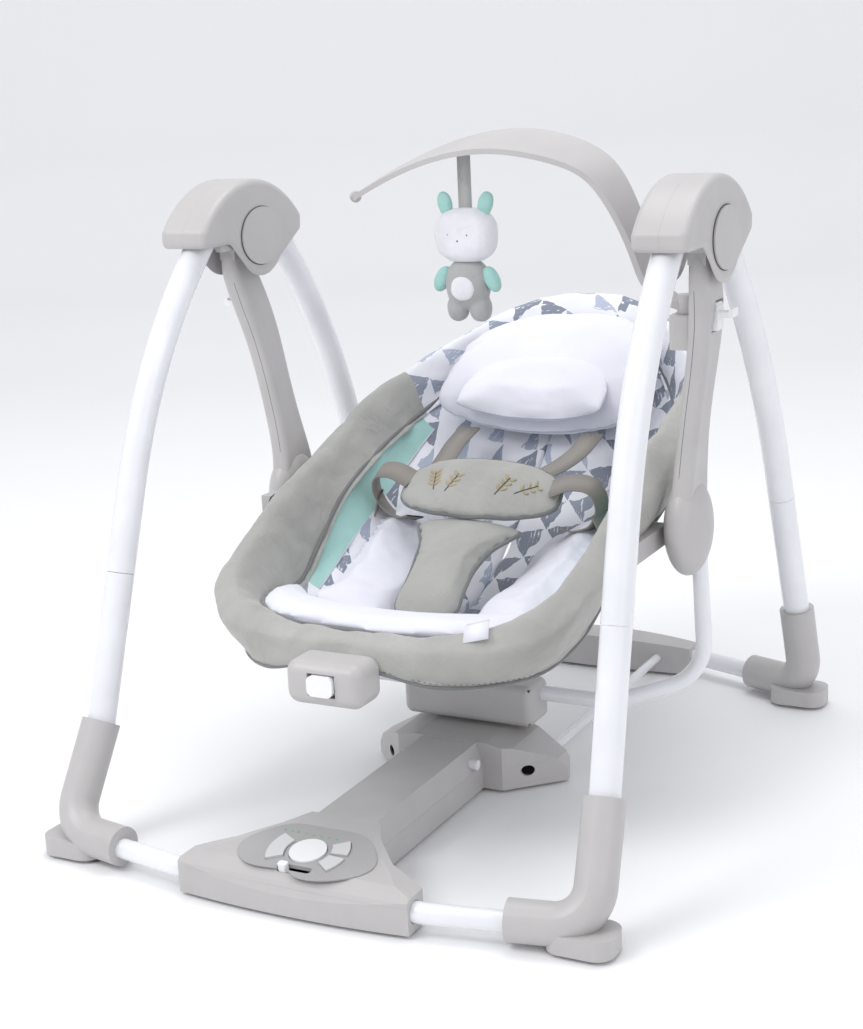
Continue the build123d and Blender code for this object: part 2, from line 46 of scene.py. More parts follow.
BOLSTER_SPAN = (5.3, 9.3)  # the stations between which a side pad runs
BOLSTER_RISE = 15.0       # how far it stands off the lining, in millimetres
WEBBING = (24, 1.6)       # the straps' width and thickness, in millimetres
PIECES = []               # every piece made here, with the body that it rides on


# ---------------------------------------------------------------- materials

class Nodes:
    """A short way to write a node tree."""

    def __init__(self, name):
        self.material = bpy.data.materials.new(name)
        self.material.use_nodes = True
        self.tree = self.material.node_tree
        self.shader = self.tree.nodes["Principled BSDF"]

    def add(self, kind, **settings):
        node = self.tree.nodes.new(kind)
        for key, value in settings.items():
            setattr(node, key, value)
        return node

    def link(self, source, target):
        self.tree.links.new(source, target)

    def coords(self, space="Object", scale=(1, 1, 1)):
        where = self.add("ShaderNodeTexCoord")
        mapping = self.add("ShaderNodeMapping")
        mapping.inputs["Scale"].default_value = scale
        self.link(where.outputs[space], mapping.inputs["Vector"])
        return mapping.outputs["Vector"]

    def noise(self, vector, scale, detail=3.0, rough=0.5, distortion=0.0):
        node = self.add("ShaderNodeTexNoise")
        node.inputs["Scale"].default_value = scale
        node.inputs["Detail"].default_value = detail
        node.inputs["Roughness"].default_value = rough
        node.inputs["Distortion"].default_value = distortion
        self.link(vector, node.inputs["Vector"])
        return node.outputs["Fac"]

    def math(self, operation, first, second=0.0, third=0.0):
        node = self.add("ShaderNodeMath", operation=operation)
        for socket, value in zip(node.inputs, (first, second, third)):
            if isinstance(value, (int, float)):
                socket.default_value = value
            else:
                self.link(value, socket)
        return node.outputs[0]

    def ramp(self, fac, stops):
        node = self.add("ShaderNodeValToRGB")
        elements = node.color_ramp.elements
        while len(elements) < len(stops):
            elements.new(0.5)
        for element, (place, colour) in zip(elements, stops):
            element.position = place
            element.color = (*colour, 1)
        self.link(fac, node.inputs["Fac"])
        return node.outputs["Color"]

    def mix(self, fac, first, second):
        node = self.add("ShaderNodeMix", data_type="RGBA")
        factor, colour_a, colour_b = node.inputs[0], node.inputs[6], node.inputs[7]
        for socket, value in ((factor, fac), (colour_a, first), (colour_b, second)):
            if isinstance(value, tuple):
                socket.default_value = (*value, 1)
            elif isinstance(value, (int, float)):
                socket.default_value = value
            else:
                self.link(value, socket)
        return node.outputs[2]

    def bump(self, height, strength, distance, normal=None):
        node = self.add("ShaderNodeBump")
        node.inputs["Strength"].default_value = strength
        node.inputs["Distance"].default_value = distance
        self.link(height, node.inputs["Height"])
        if normal is not None:
            self.link(normal, node.inputs["Normal"])
        return node.outputs["Normal"]

    def rough_range(self, fac, low, high):
        node = self.add("ShaderNodeMapRange")
        node.inputs["To Min"].default_value = low
        node.inputs["To Max"].default_value = high
        self.link(fac, node.inputs["Value"])
        self.link(node.outputs["Result"], self.shader.inputs["Roughness"])

    def colour(self, socket):
        self.link(socket, self.shader.inputs["Base Color"])

    def normal(self, socket):
        self.link(socket, self.shader.inputs["Normal"])


def shade(colour, factor):
    return tuple(min(1.0, c * factor) for c in colour)


def plastic(name, colour, low=0.32, high=0.46, coat=0.0):
    """Moulded plastic: a fine texture with faint mottling."""
    n = Nodes(name)
    where = n.coords()
    soft = n.noise(where, 22, 3)
    n.colour(n.ramp(soft, [(0.3, shade(colour, 0.965)), (0.7, shade(colour, 1.03))]))
    n.rough_range(n.noise(where, 60, 4), low, high)
    n.normal(n.bump(n.noise(where, 1500, 2), 0.12, 0.0002))
    n.shader.inputs["Coat Weight"].default_value = coat
    n.shader.inputs["Coat Roughness"].default_value = 0.15
    return n.material


def velour(name, colour, nap=0.09):
    """Short-pile fabric: soft patches where the pile lies differently, and a sheen."""
    n = Nodes(name)
    where = n.coords()
    patches = n.noise(where, 16, 4, 0.55, 0.4)
    pile = n.noise(where, 900, 3, 0.7)
    tone = n.ramp(patches, [(0.3, shade(colour, 1 - 1.2 * nap)), (0.5, colour),
                            (0.72, shade(colour, 1 + nap))])
    n.colour(n.mix(n.math("MULTIPLY", pile, 0.24), tone, shade(colour, 0.7)))
    n.shader.inputs["Roughness"].default_value = 0.9
    n.shader.inputs["Sheen Weight"].default_value = 0.35
    n.shader.inputs["Sheen Roughness"].default_value = 0.4
    crease = n.bump(n.noise(where, 34, 4, 0.55, 1.2), 0.45, 0.005)
    n.normal(n.bump(pile, 0.4, 0.0008, crease))
    return n.material


def knit(name, colour):
    """Smooth knitted fabric with a fine regular stitch."""
    thread = 520.0   # stitches in a metre
    n = Nodes(name)
    where = n.coords()
    x = n.add("ShaderNodeSeparateXYZ")
    n.link(where, x.inputs[0])
    run = n.math("ADD", x.outputs[1], x.outputs[2])
    wale = n.math("SINE", n.math("MULTIPLY", x.outputs[0], thread * CYCLE))
    course = n.math("SINE", n.math("MULTIPLY", run, thread * 4.4))
    weave = n.math("MULTIPLY", wale, course)
    soft = n.noise(where, 20, 3)
    n.colour(n.ramp(soft, [(0.3, shade(colour, 0.97)), (0.7, shade(colour, 1.02))]))
    n.shader.inputs["Roughness"].default_value = 0.85
    n.shader.inputs["Sheen Weight"].default_value = 0.25
    crease = n.bump(n.noise(where, 30, 3, 0.5, 0.6), 0.12, 0.003)
    n.normal(n.bump(weave, 0.15, 0.0003, crease))
    return n.material


def printed(name, base, ink):
    """White knit printed with rows of brushed triangles."""
    n = Nodes(name)
    where = n.coords("UV")
    wobble = n.noise(where, 55, 2, 0.5)
    parts = n.add("ShaderNodeSeparateXYZ")
    n.link(where, parts.inputs[0])
    sway = n.math("MULTIPLY", n.math("SUBTRACT", wobble, 0.5), 0.014)
    v = n.math("MULTIPLY", n.math("ADD", parts.outputs[1], sway), PRINT_ROWS)
    row = n.math("FLOOR", v)
    rise = n.math("FRACT", v)
    shift = n.math("MULTIPLY", row, 0.5)
    swayed = n.math("ADD", parts.outputs[0], sway)
    across = n.math("ADD", n.math("MULTIPLY", swayed, PRINT_ROWS * 0.8), shift)
    off_centre = n.math("SUBTRACT", n.math("FRACT", across), 0.5)
    tent = n.math("MULTIPLY", n.math("ABSOLUTE", off_centre), 2.0)
    spot = n.add("ShaderNodeCombineXYZ")
    n.link(n.math("FLOOR", across), spot.inputs[0])
    n.link(row, spot.inputs[1])
    cell = n.add("ShaderNodeTexWhiteNoise", noise_dimensions="2D")
    n.link(spot.outputs[0], cell.inputs["Vector"])
    chance = cell.outputs["Value"]
    inside = n.math("LESS_THAN", tent, n.math("MULTIPLY", rise, 0.92))
    half = n.math("GREATER_THAN", n.math("FRACT", across), 0.5)
    whole = n.math("GREATER_THAN", chance, 0.45)
    halved = n.math("MULTIPLY", inside, n.math("MAXIMUM", half, whole))
    streaks = n.add("ShaderNodeMapping")
    streaks.inputs["Scale"].default_value = (420, 60, 1)
    streaks.inputs["Rotation"].default_value = (0, 0, 0.6)
    n.link(where, streaks.inputs["Vector"])
    brush = n.noise(streaks.outputs["Vector"], 1.0, 3, 0.6)
    covered = n.math("MULTIPLY", halved, n.math("GREATER_THAN", brush, 0.38))
    tone = n.ramp(chance, [(0.2, shade(ink, 1.9)), (0.6, ink)])
    n.colour(n.mix(covered, base, tone))
    n.shader.inputs["Roughness"].default_value = 0.85
    n.shader.inputs["Sheen Weight"].default_value = 0.2
    spots = n.coords()
    crease = n.bump(n.noise(spots, 34, 3, 0.5, 0.6), 0.14, 0.003)
    n.normal(n.bump(n.noise(spots, 900, 2), 0.2, 0.0004, crease))
    return n.material


def webbing(name, colour):
    """Ribbed tape: ribs across its run, with painted shade in the grooves between the yarns, which are
    about 2 mm apart.
    """
    n = Nodes(name)
    where = n.coords("UV")
    parts = n.add("ShaderNodeSeparateXYZ")
    n.link(where, parts.inputs[0])
    rib = n.math("SINE", n.math("MULTIPLY", parts.outputs[1], CYCLE / 0.0022))
    yarn = n.math("SINE", n.math("MULTIPLY", parts.outputs[0], CYCLE / 0.0018))
    weave = n.math("MULTIPLY_ADD", n.math("MULTIPLY", rib, yarn), 0.35, 0.5)
    # painted shade: the colour darkens where the weave's height is low, in the grooves between the yarns
    n.colour(n.ramp(weave, [(0.15, shade(colour, 0.6)), (0.8, shade(colour, 1.12))]))
    n.shader.inputs["Roughness"].default_value = 0.8
    n.normal(n.bump(weave, 0.7, 0.0008))
    return n.material


GREY = (0.50, 0.485, 0.48)
VELOUR = (0.42, 0.42, 0.395)
LILAC = (0.80, 0.805, 0.88)
M = {
    "grey": plastic("grey_plastic", GREY),
    "panel": plastic("panel_grey", (0.40, 0.39, 0.39), 0.25, 0.35),
    "key": plastic("key_grey", (0.62, 0.62, 0.62), 0.3, 0.4),
    "seam": knit("lilac_seam", (0.56, 0.565, 0.66)),
    "white": plastic("white_plastic", (0.86, 0.86, 0.87), 0.2, 0.3, 0.4),
    "tube": plastic("white_tube", (0.83, 0.84, 0.87), 0.14, 0.24, 0.5),
    "dark": plastic("dark_rubber", (0.07, 0.07, 0.075), 0.6, 0.8),
    "velour": velour("grey_velour", VELOUR),
    "piping": velour("grey_piping", (0.20, 0.205, 0.21)),
    "underside": knit("grey_underside", (0.33, 0.35, 0.36)),
    "teal": velour("teal_panel", (0.40, 0.66, 0.62), 0.07),
    "fleece": knit("lilac_white", LILAC),
    "print": printed("printed_knit", (0.82, 0.83, 0.88), (0.235, 0.26, 0.32)),
    "webbing": webbing("webbing", (0.33, 0.31, 0.285)),
    "plush_white": velour("plush_white", (0.80, 0.80, 0.84)),
    "plush_grey": velour("plush_grey", (0.42, 0.42, 0.42)),
    "plush_teal": velour("plush_teal", (0.36, 0.62, 0.58)),
    "leaf": velour("leaf_thread", (0.42, 0.36, 0.22)),
    "dark_thread": velour("dark_thread", (0.10, 0.10, 0.11)),
    "steel": plastic("steel", (0.45, 0.45, 0.46), 0.25, 0.35),
    "lamp": plastic("lamp_green", (0.25, 0.5, 0.3), 0.1, 0.2),
    "board": plastic("board_green", (0.05, 0.2, 0.1), 0.3, 0.5),
    "copper": plastic("copper_wire", (0.55, 0.25, 0.12), 0.3, 0.4),
}

CAD_LOOKS = {
    "grey": ("base_upper_shell", "base_lower_shell", "front_feet", "rear_feet", "rear_housing",
             "hub_outer_shells", "hub_inner_shells", "hub_outer_caps", "hub_inner_caps", "swing_arms",
             "pod_covers", "magnet_case", "toy_bar_socket", "toy_bar", "seat_clamps", "vibration_case",
             "front_knuckles", "rear_knuckles"),
    "panel": ("panel_plate",),
    "key": ("timer_button", "volume_button", "music_button"),
    "white": ("power_button", "mode_slider", "release_peg_right", "release_peg_left", "arm_lever_right",
              "arm_lever_left", "vibration_button"),
    "tube": ("front_bar", "rear_bar", "front_lower_tubes", "front_upper_tubes", "rear_lower_tubes",
             "rear_upper_tubes", "guide_rods", "swing_tube", "seat_hoop"),
    "steel": ("hub_axles", "vibration_motor", "drive_magnets", "battery_cells"),
    "dark": ("front_pads", "rear_pads"),
    "lamp": ("status_lights",),
    "board": ("circuit_board",),
    "copper": ("drive_coil",),
}


def dress_cad():
    """Gives every carried-over CAD node its moulded or metal finish."""
    for look, names in CAD_LOOKS.items():
        for name in names:
            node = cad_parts[name]
            node.data.materials.clear()
            node.data.materials.append(M[look])


# ---------------------------------------------------------------- camera and light

def camera():
    """The photograph's viewpoint: its angles in degrees and its place in metres."""
    azimuth, elevation, roll = (math.radians(a) for a in (27.82, 14.15, -2.679))
    place = (0.79985, -1.58470, 0.71928)
    data = bpy.data.cameras.new("camera")
    data.sensor_width = 36.0
    data.lens = 63.87
    data.clip_start = 0.05
    data.clip_end = 50.0
    eye = bpy.data.objects.new("camera", data)
    turn = (Matrix.Rotation(azimuth, 4, "Z") @ Matrix.Rotation(math.pi / 2 - elevation, 4, "X")
            @ Matrix.Rotation(roll, 4, "Z"))
    eye.matrix_world = Matrix.Translation(place) @ turn
    bpy.context.scene.collection.objects.link(eye)
    bpy.context.scene.camera = eye


def area_light(name, place, target, size, power):
    data = bpy.data.lights.new(name, "AREA")
    data.shape = "DISK"
    data.size = size
    data.energy = power
    lamp = bpy.data.objects.new(name, data)
    lamp.location = place
    lamp.rotation_euler = (Vector(target) - Vector(place)).to_track_quat("-Z", "Y").to_euler()
    bpy.context.scene.collection.objects.link(lamp)


def studio():
    """A pale floor that rises behind the object, soft lights and a white surround."""
    away_x, away_y = -0.4525, 0.892   # straight away from the camera, over the floor
    rows = []
    for reach, rise in ((-4.0, 0), (2.4, 0), (3.3, 0.08), (4.0, 0.45), (4.5, 1.2), (4.7, 2.4),
                        (4.7, 5.0)):
        rows.append([(1000 * (away_x * reach + away_y * w), 1000 * (away_y * reach - away_x * w),
                      1000 * rise) for w in (-9.0, -3.0, 3.0, 9.0)])
    mesh = grid(rows)
    floor = bpy.data.objects.new("floor", mesh)
    floor.location.z = -0.0005
    bpy.context.scene.collection.objects.link(floor)
    for face in mesh.polygons:
        face.use_smooth = True
    floor_look = Nodes("floor")
    mottle = floor_look.noise(floor_look.coords(), 3)
    floor_look.colour(floor_look.ramp(mottle, [(0, (0.92, 0.92, 0.925)), (1, (0.94, 0.94, 0.945))]))
    floor_look.shader.inputs["Roughness"].default_value = 0.6
    mesh.materials.append(floor_look.material)
    world = bpy.data.worlds.new("studio")
    world.use_nodes = True
    sky = world.node_tree.nodes["Background"]
    sky.inputs["Color"].default_value = (0.95, 0.96, 1.0, 1)
    sky.inputs["Strength"].default_value = 0.82
    bpy.context.scene.world = world
    area_light("key", (-1.2, -1.8, 2.4), (0, 0, 0.3), 1.3, 28)
    area_light("fill", (2.2, -1.2, 1.4), (0, 0, 0.3), 1.8, 6)
    area_light("top", (0, 0.4, 2.6), (0, 0, 0.2), 1.6, 18)
    bpy.context.scene.view_settings.view_transform = "Standard"


# ---------------------------------------------------------------- shapes

def link(name, mesh, looks, body="seat"):
    """Puts a mesh in the scene with its materials, and lets it ride on a body."""
    piece = bpy.data.objects.new(name, mesh)
    bpy.context.scene.collection.objects.link(piece)
    for look in looks:
        mesh.materials.append(M[look])
    for face in mesh.polygons:
        face.use_smooth = True
    PIECES.append((piece, body))
    return piece


def grid(rows, close_rows=False, close_columns=False):
    """A mesh of quads through rows of points, in millimetres."""
    mesh = bpy.data.meshes.new("grid")
    wide = len(rows[0])
    points = [tuple(c * MM for c in p) for row in rows for p in row]
    faces = []
    for i in range(len(rows) if close_rows else len(rows) - 1):
        for j in range(wide if close_columns else wide - 1):
            k = (i + 1) % len(rows)
            m = (j + 1) % wide
            faces.append((i * wide + j, i * wide + m, k * wide + m, k * wide + j))
    mesh.from_pydata(points, [], faces)
    mesh.update()
    return mesh


def outwards(mesh, weld=0.0, fill=False):
    """Makes a closed mesh's faces point outwards; points nearer than weld are joined first."""
    bm = bmesh.new()
    bm.from_mesh(mesh)
    if weld:
        bmesh.ops.remove_doubles(bm, verts=bm.verts, dist=weld * MM)
    if fill:
        bmesh.ops.holes_fill(bm, edges=bm.edges, sides=0)
    bmesh.ops.recalc_face_normals(bm, faces=bm.faces)
    bm.to_mesh(mesh)
    bm.free()


def spline(points, steps, closed=False):
    """A smooth line through points, with a few steps between neighbours."""
    points = [Vector(p) for p in points]
    count = len(points)
    out = []
    for i in range(count if closed else count - 1):
        if closed:
            a, b, c, d = (points[(i + k) % count] for k in (-1, 0, 1, 2))
        else:
            a, b, c, d = (points[min(max(i + k, 0), count - 1)] for k in (-1, 0, 1, 2))
        for k in range(steps):
            t = k / steps
            out.append(0.5 * (2 * b + (c - a) * t + (2 * a - 5 * b + 4 * c - d) * t * t
                              + (3 * b - 3 * c + d - a) * t ** 3))
    if not closed:
        out.append(points[-1])
    return out


def flipped(p):
    """The same point on the other side."""
    return Vector((-p[0], p[1], p[2]))


def cordlike(name, points, radius, look, closed=False, body="seat"):
    """A round piping or thread through points."""
    data = bpy.data.curves.new(name, "CURVE")
    data.dimensions = "3D"
    data.bevel_depth = radius * MM
    data.bevel_resolution = 3
    data.use_fill_caps = True
    line = data.splines.new("POLY")
    line.points.add(len(points) - 1)
    for target, p in zip(line.points, points):
        target.co = (p[0] * MM, p[1] * MM, p[2] * MM, 1)
    line.use_cyclic_u = closed
    data.materials.append(M[look])
    piece = bpy.data.objects.new(name, data)
    bpy.context.scene.collection.objects.link(piece)
    PIECES.append((piece, body))
    return piece


def stitches(name, points):
    """A dashed row of thread along a line."""
    length, gap, radius = 3.4, 2.0, 0.45
    bm = bmesh.new()
    walked = 0.0
    for a, b in zip(points, points[1:]):
        a, b = Vector(a), Vector(b)
        run = (b - a).length
        if run < 1e-6:
            continue
        way = (b - a) / run
        while walked < run:
            middle = a + way * walked
            turn = way.to_track_quat("X", "Z").to_matrix().to_4x4()
            made = bmesh.ops.create_uvsphere(bm, u_segments=6, v_segments=4, radius=1.0)
            stretch = Matrix.Diagonal((length / 2 * MM, radius * MM, radius * MM, 1))
            place = Matrix.Translation(middle * MM) @ turn @ stretch
            bmesh.ops.transform(bm, matrix=place, verts=made["verts"])
            walked += length + gap
        walked -= run
    mesh = bpy.data.meshes.new(name)
    bm.to_mesh(mesh)
    bm.free()
    return link(name, mesh, ["piping"])


def snug(piece, points, closed=True):
    """A seam line laid against a stuffed piece, with small steps smoothed out."""
    near = [piece.closest_point_on_mesh(Vector(p) * MM)[1] / MM for p in points]
    for _ in range(3):
        before = (near[-1:] if closed else near[:1]) + near[:-1]
        after = near[1:] + (near[:1] if closed else near[-1:])
        near = [(a + b * 2 + c) / 4 for a, b, c in zip(before, near, after)]
    return near


def wrinkle(piece, size, height, seed=0.0, stretch=(1, 1, 1)):
    """Moves points along their normals by smooth noise, for soft creases."""
    mesh = piece.data
    stretch = Vector(stretch)
    moves = []
    for v in mesh.vertices:
        at = Vector([c * s for c, s in zip(v.co, stretch)]) / (size * MM)
        n = noise.noise(at + Vector((seed, 0, 0))) + 0.5 * noise.noise(at * 2.1 + Vector((0, seed, 0)))
        moves.append(v.co + v.normal * n * height * MM)
    for v, co in zip(mesh.vertices, moves):
        v.co = co


def applied(piece):
    """Bakes a piece's modifiers into its mesh."""
    bpy.context.view_layer.update()
    shown = piece.evaluated_get(bpy.context.evaluated_depsgraph_get())
    mesh = bpy.data.meshes.new_from_object(shown)
    old = piece.data
    piece.modifiers.clear()
    piece.data = mesh
    bpy.data.meshes.remove(old)
    for face in mesh.polygons:
        face.use_smooth = True


def subdivide(piece, levels=1):
    piece.modifiers.new("sub", "SUBSURF").levels = levels
    applied(piece)


def voxels(piece, size):
    """Adds a remesh of even small quads, in millimetres."""
    remesh = piece.modifiers.new("remesh", "REMESH")
    remesh.mode = "VOXEL"
    remesh.voxel_size = size * MM


def inflate(piece, voxel, cap, pressure):
    """Stuffs a cushion: remeshes it, blows it up as cloth, and keeps each point within
    cap millimetres of its start."""
    frames = 20
    voxels(piece, voxel)
    applied(piece)
    start = [v.co.copy() for v in piece.data.vertices]
    cloth = piece.modifiers.new("cloth", "CLOTH")
    cloth.settings.use_pressure = True
    cloth.settings.uniform_pressure_force = pressure
    cloth.settings.effector_weights.gravity = 0.0
    cloth.settings.tension_stiffness = 8
    cloth.settings.bending_stiffness = 0.3
    cloth.settings.quality = 5
    cloth.point_cache.frame_start = 1
    cloth.point_cache.frame_end = frames
    scene = bpy.context.scene
    for f in range(1, frames + 1):
        scene.frame_set(f)
    shown = piece.evaluated_get(bpy.context.evaluated_depsgraph_get())
    ends = [v.co.copy() for v in shown.data.vertices]
    piece.modifiers.clear()
    scene.frame_set(1)
    for v, a, b in zip(piece.data.vertices, start, ends):
        way = b - a
        v.co = a + way * min(1.0, cap * MM / max(way.length, 1e-9))
    piece.modifiers.new("smooth", "SMOOTH").iterations = 2
    subdivide(piece)


def disc_cushion(name, outline, place, thick, look, bow, crown, back=0.35):
    """A closed cushion over a flat outline, and the line of its edge.

    It is thickest in the middle and flatter as crown grows; its back is a share of its
    front, and bow lifts its two sides."""
    outline = spline([(x, y, 0) for x, y in outline], 6, closed=True)
    middle = sum(outline, Vector()) / len(outline)
    reach = max(abs(p.x) for p in outline)
    rings = [0.0001, 0.2, 0.4, 0.58, 0.74, 0.86, 0.94, 0.985, 1.0]
    rows = []
    for share in (1, -back):
        layer = []
        for r in rings:
            height = thick * (1 - r ** crown) ** 0.5 * share if r < 1 else 0.0
            ring = []
            for p in outline:
                q = middle + (p - middle) * r
                ring.append(Vector((q.x, q.y, height + bow * (q.x / reach) ** 2)))
            layer.append(ring)
        rows += layer if share > 0 else layer[::-1][1:]
    rows = [[place @ p for p in row] for row in rows]
    mesh = grid(rows, close_columns=True)
    outwards(mesh, 0.05)
    piece = link(name, mesh, [look])
    edge = [place @ Vector((p.x, p.y, bow * (p.x / reach) ** 2)) for p in outline]
    return piece, edge


def plane(origin, along, normal):
    """The transform from a flat drawing to a plane: x along one way, z on its normal."""
    x = Vector(along).normalized()
    z = Vector(normal).normalized()
    y = z.cross(x)
    turn = Matrix((x, y, z)).transposed().to_4x4()
    return Matrix.Translation(Vector(origin)) @ turn


def ribbon(name, points, ups, width, thick, look, slot, body="seat"):
    """A flat strap along points, with its broad side facing each up."""
    line = spline(points, 8)
    faces_up = spline(ups, 8)
    rows = []
    for i, p in enumerate(line):
        ahead = line[min(i + 1, len(line) - 1)] - line[max(i - 1, 0)]
        side = ahead.cross(faces_up[i]).normalized()
        up = side.cross(ahead).normalized()
        w = side * width / 2
        t = up * thick / 2
        rows.append([p - w - t, p - w + t, p + w + t, p + w - t])
    mesh = grid(rows, close_columns=True)
    uv = mesh.uv_layers.new(name="UVMap")
    lengths = [0.0]
    for a, b in zip(line, line[1:]):
        lengths.append(lengths[-1] + (b - a).length * MM)
    for face in mesh.polygons:
        for loop in face.loop_indices:
            v = mesh.loops[loop].vertex_index
            uv.data[loop].uv = ((0, 0, width * MM, width * MM)[v % 4], lengths[v // 4])
    return link(name, mesh, [look], body)


# ---------------------------------------------------------------- the seat's cover

# The padded edge from the front middle round to the back middle, on the right side:
# inner piping, crown, outer side and lower hem at each station, in millimetres.
EDGE = [
    ((0, -208, 210), (0, -232, 217), (0, -251, 207), (0, -255, 196)),
    ((42, -209, 211), (42, -233, 218), (44, -252, 206), (44, -253, 190)),
    ((80, -207, 213), (84, -231, 220), (89, -247, 207), (86, -243, 180)),
    ((114, -194, 216), (128, -214, 227), (141, -223, 206), (128, -210, 176)),
    ((137, -166, 216), (158, -183, 240), (181, -184, 216), (158, -168, 178)),
    ((146, -128, 211), (170, -142, 256), (194, -138, 234), (176, -124, 196)),
    ((147, -80, 210), (172, -92, 277), (197, -84, 254), (181, -74, 222)),
    ((148, -40, 237), (173, -44, 297), (198, -36, 274), (182, -26, 240)),
    ((149, 16, 277), (173, 18, 318), (198, 26, 296), (182, 38, 258)),
    ((150, 84, 302), (173, 78, 340), (197, 88, 318), (182, 98, 276)),
    ((150, 148, 318), (172, 138, 360), (194, 150, 338), (180, 160, 294)),
    ((146, 203, 331), (166, 200, 374), (187, 212, 352), (174, 222, 312)),
    ((132, 248, 350), (149, 254, 392), (167, 268, 368), (158, 278, 332)),
    ((100, 290, 378), (109, 304, 420), (123, 320, 396), (117, 326, 356)),
    ((52, 318, 400), (56, 338, 440), (62, 354, 418), (60, 356, 374)),
    ((0, 328, 408), (0, 349, 447), (0, 366, 426), (0, 366, 380)),
]
# The seat's middle line under each station.
KEEL = [(0, -178, 205), (0, -176, 204), (0, -170, 203), (0, -160, 201), (0, -144, 197), (0, -118, 191),
        (0, -80, 183), (0, -40, 176), (0, 14, 176), (0, 80, 202), (0, 144, 245), (0, 200, 290),
        (0, 240, 322), (0, 274, 350), (0, 298, 372), (0, 310, 386)]


def around(side_points):
    """A smooth closed loop from its right half."""
    left = [flipped(p) for p in reversed(side_points[1:-1])]
    return spline(list(side_points) + left, STEPS, closed=True)


def station(i, count):
    """The place of a loop's step as a station number, the same on both sides."""
    s = i / STEPS
    whole = count / STEPS
    return min(s, whole - s)


def cover():
    """The padded rim with its piping, then the lining under it."""
    piping, crowns, outers, hems = (around([e[k] for e in EDGE]) for k in range(4))
    keel = around(KEEL)
    count = len(keel)
    rim = []
    for i in range(count):
        inner, crown, outer, hem = piping[i], crowns[i], outers[i], hems[i]
        mid = (inner + outer) / 2
        low = inner + (keel[i] - inner) * 0.02 + Vector((0, 0, -3))
        back = hem + (mid - hem) * 0.35
        section = [inner, inner.lerp(crown, 0.5) + (crown - mid) * 0.16, crown,
                   crown.lerp(outer, 0.5) + (outer - inner) * 0.09 + Vector((0, 0, 3)),
                   outer, hem, back, low]
        rim.append(spline(section, 4, closed=True))
    mesh = grid(rim, close_rows=True, close_columns=True)
    uv_by_length(mesh, rim, 8)
    piece = link("rim_roll", mesh, ["velour", "print"])
    outwards(mesh)
    wide = len(rim[0])
    for face in mesh.polygons:
        s = station(face.index // wide, count)
        if s > VELOUR_END:
            face.material_index = 1
    subdivide(piece)
    wrinkle(piece, 52, 3.2, 3.0)
    wrinkle(piece, 19, 1.3, 9.0, (1, 0.6, 1))
    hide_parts("seat_rim", "seat_hoop")
    cordlike("rim_piping", piping, 2.3, "piping", closed=True)
    lowered = [p + Vector((0, 0, -1)) for p in hems]
    cordlike("hem_piping", lowered, 1.8, "piping", closed=True)
    seam = [a.lerp(b, 0.86) + (b - Vector((0, b.y, a.z))).normalized() * 4 for a, b in zip(outers, hems)]
    stitches("hem_stitches", seam[:4 * STEPS])
    lining(piping, hems, keel, count)


def uv_by_length(mesh, rows, start):
    """UVs in metres: across each row from its start point, and along the start points."""
    wide = len(rows[0])
    across, along, run = [], [], 0.0
    for i, row in enumerate(rows):
        if i:
            run += (row[start] - rows[i - 1][start]).length
        far = [0.0] * wide
        for j in range(start + 1, wide):
            far[j] = far[j - 1] + (row[j] - row[j - 1]).length
        for j in range(start - 1, -1, -1):
            far[j] = far[j + 1] - (row[j] - row[j + 1]).length
        across.append(far)
        along.append(run)
    uv = mesh.uv_layers.new(name="UVMap")
    for face in mesh.polygons:
        for loop in face.loop_indices:
            i, j = divmod(mesh.loops[loop].vertex_index, wide)
            uv.data[loop].uv = (across[i][j] * MM, along[i] * MM)


def wall(edge, keel, t):
    """A point on the seat's inside, from the piping at 0 down to the middle line at 1."""
    drop = edge.z - keel.z
    a = edge
    b = edge + Vector((-0.04 * edge.x, 0, -0.55 * drop)) + (keel - edge) * 0.05
    c = keel.lerp(edge, 0.42)
    c.z = keel.z + 0.02 * drop
    d = keel
    u = 1 - t
    return a * u ** 3 + b * 3 * u * u * t + c * 3 * u * t * t + d * t ** 3


def lining(inner, hem, keel, count):
    """The printed and coloured lining, with the grey cloth under it."""
    cuts = LINING_CUTS
    rows = []
    for i in range(count):
        rows.append([wall(inner[i], keel[i], t / cuts) for t in range(cuts + 1)])
    under = []
    for i in range(count):
        deep = keel[i] + Vector((0, 0, -13))
        start = hem[i] + Vector((0, 0, 2))
        under.append([wall(start, deep, t / cuts) for t in range(cuts, -1, -1)])
    whole = [top + low for top, low in zip(rows, under)]
    mesh = grid(whole, close_rows=True, close_columns=True)
    uv_by_length(mesh, whole, 0)
    piece = link("seat_shell", mesh, ["print", "teal", "underside"])
    wide = len(whole[0])
    for face in mesh.polygons:
        i, j = divmod(face.index, wide)
        s = station(i, count)
        if j > cuts:
            face.material_index = 2
        elif j < TEAL_DEPTH and TEAL_SPAN[0] < s < TEAL_SPAN[1]:
            face.material_index = 1
    outwards(mesh)
    subdivide(piece)
    wrinkle(piece, 46, 2.4, 5.0)
    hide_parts("seat_bucket")
    for side, name in ((1, "right"), (-1, "left")):
        line = []
        for k in range(int(TEAL_SPAN[0] * STEPS), int(TEAL_SPAN[1] * STEPS) + 1):
            i = side * k % count
            line.append(wall(inner[i], keel[i], TEAL_DEPTH / cuts))
        cordlike("teal_seam_" + name, line, 1.0, "seam")
        bolster(name, side, inner, keel, count)


